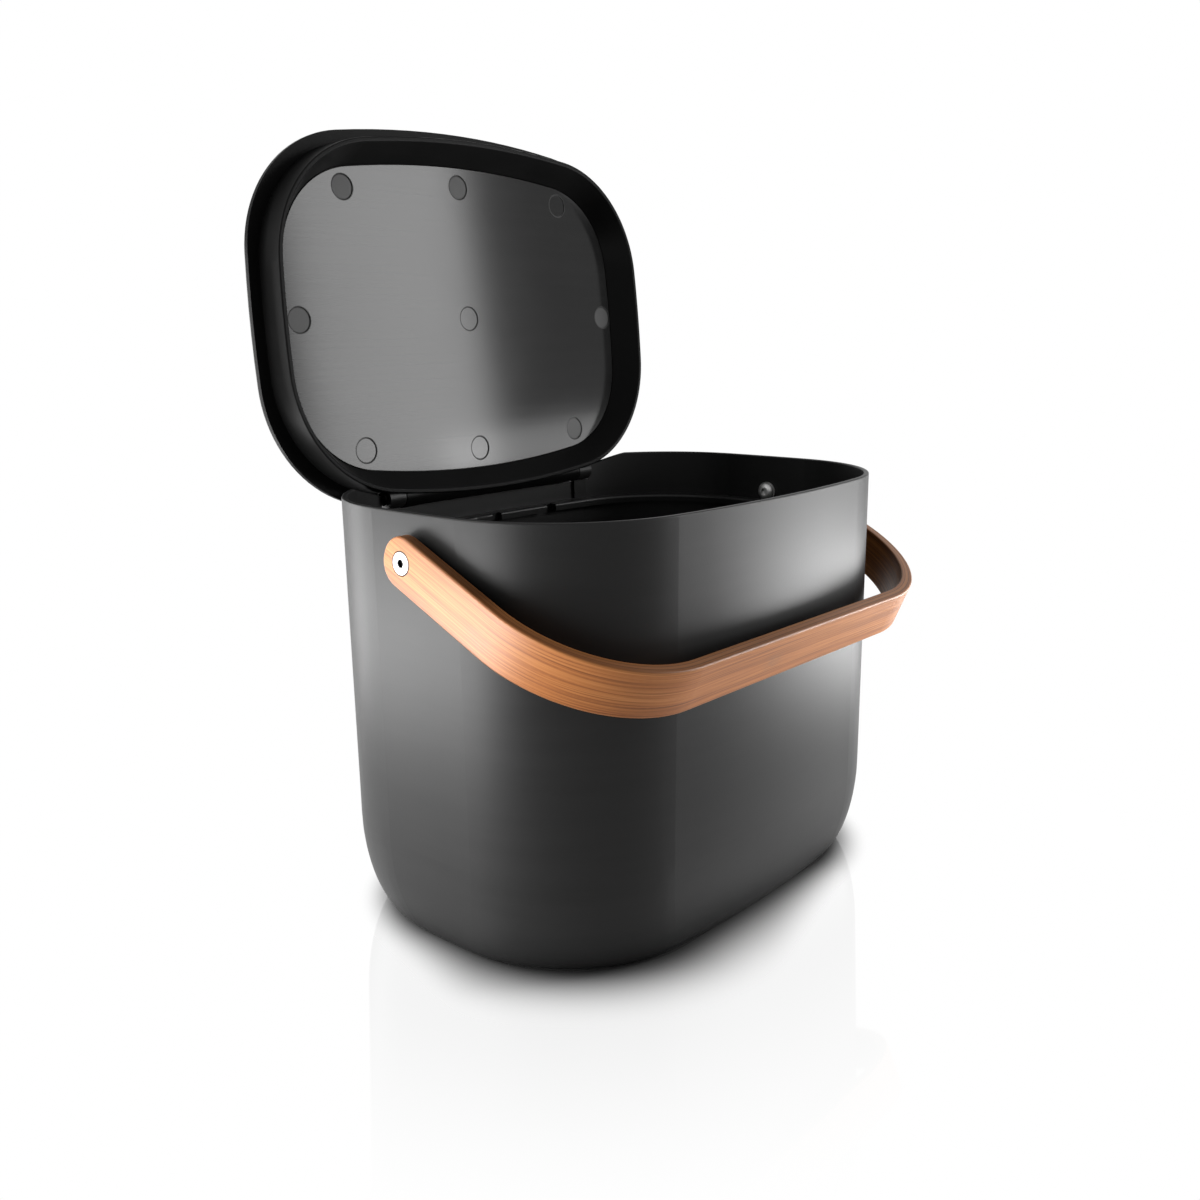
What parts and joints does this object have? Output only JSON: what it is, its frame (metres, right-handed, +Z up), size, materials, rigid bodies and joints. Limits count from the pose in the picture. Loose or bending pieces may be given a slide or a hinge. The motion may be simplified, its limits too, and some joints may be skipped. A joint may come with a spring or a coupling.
{
  "type": "kitchen bin",
  "caption": "Soft-cornered countertop bin with a back-hinged lid standing open, an inner lid plate, a bag ring inside the mouth and a bent bamboo handle that swings up to carry it.",
  "frame": {"origin": "centre of the base, in the plane of the ring that it stands on", "axes": "+Z up; -Y to the front, where the handle hangs; X along the lid's hinge and the handle's pivots"},
  "size_m": [0.2108, 0.1715, 0.2791],
  "materials": {
    "tub_plastic": "fine matte, moulded",
    "ring_plastic": "matte, moulded",
    "lid_plastic": "satin, moulded",
    "plate_plastic": "satin gloss, finely brushed",
    "bamboo_face": "oiled, lengthwise grain",
    "bamboo_core": "oiled, lengthwise grain",
    "spacer_plastic": "plain",
    "steel": "polished stainless"
  },
  "bodies": {
    "bin": {"bin_body": "tub_plastic", "bag_ring": "ring_plastic", "hinge_pin_left": "steel", "pivot_sleeve_left": "steel", "pivot_spacer_left": "spacer_plastic", "pivot_washer_left": "steel", "pivot_screw_left": "steel", "hinge_pin_right": "steel", "pivot_sleeve_right": "steel", "pivot_spacer_right": "spacer_plastic", "pivot_washer_right": "steel", "pivot_screw_right": "steel"},
    "lid": {"lid_cover": "lid_plastic", "lid_collar": "lid_plastic", "lid_plate": "plate_plastic"},
    "handle": {"handle_outer_ply": "bamboo_face", "handle_core_ply": "bamboo_core", "handle_inner_ply": "bamboo_face"}
  },
  "joints": [
    {"name": "lid_hinge", "type": "hinge", "parent": "bin", "child": "lid", "pos_m": [0, 0.0671, 0.1396], "axis": [1, 0, 0], "range_deg": [0, 95]},
    {"name": "handle_swing", "type": "hinge", "parent": "bin", "child": "handle", "pos_m": [0, -0.001, 0.1309], "axis": [-1, 0, 0], "range_deg": [0, 165]}
  ]
}
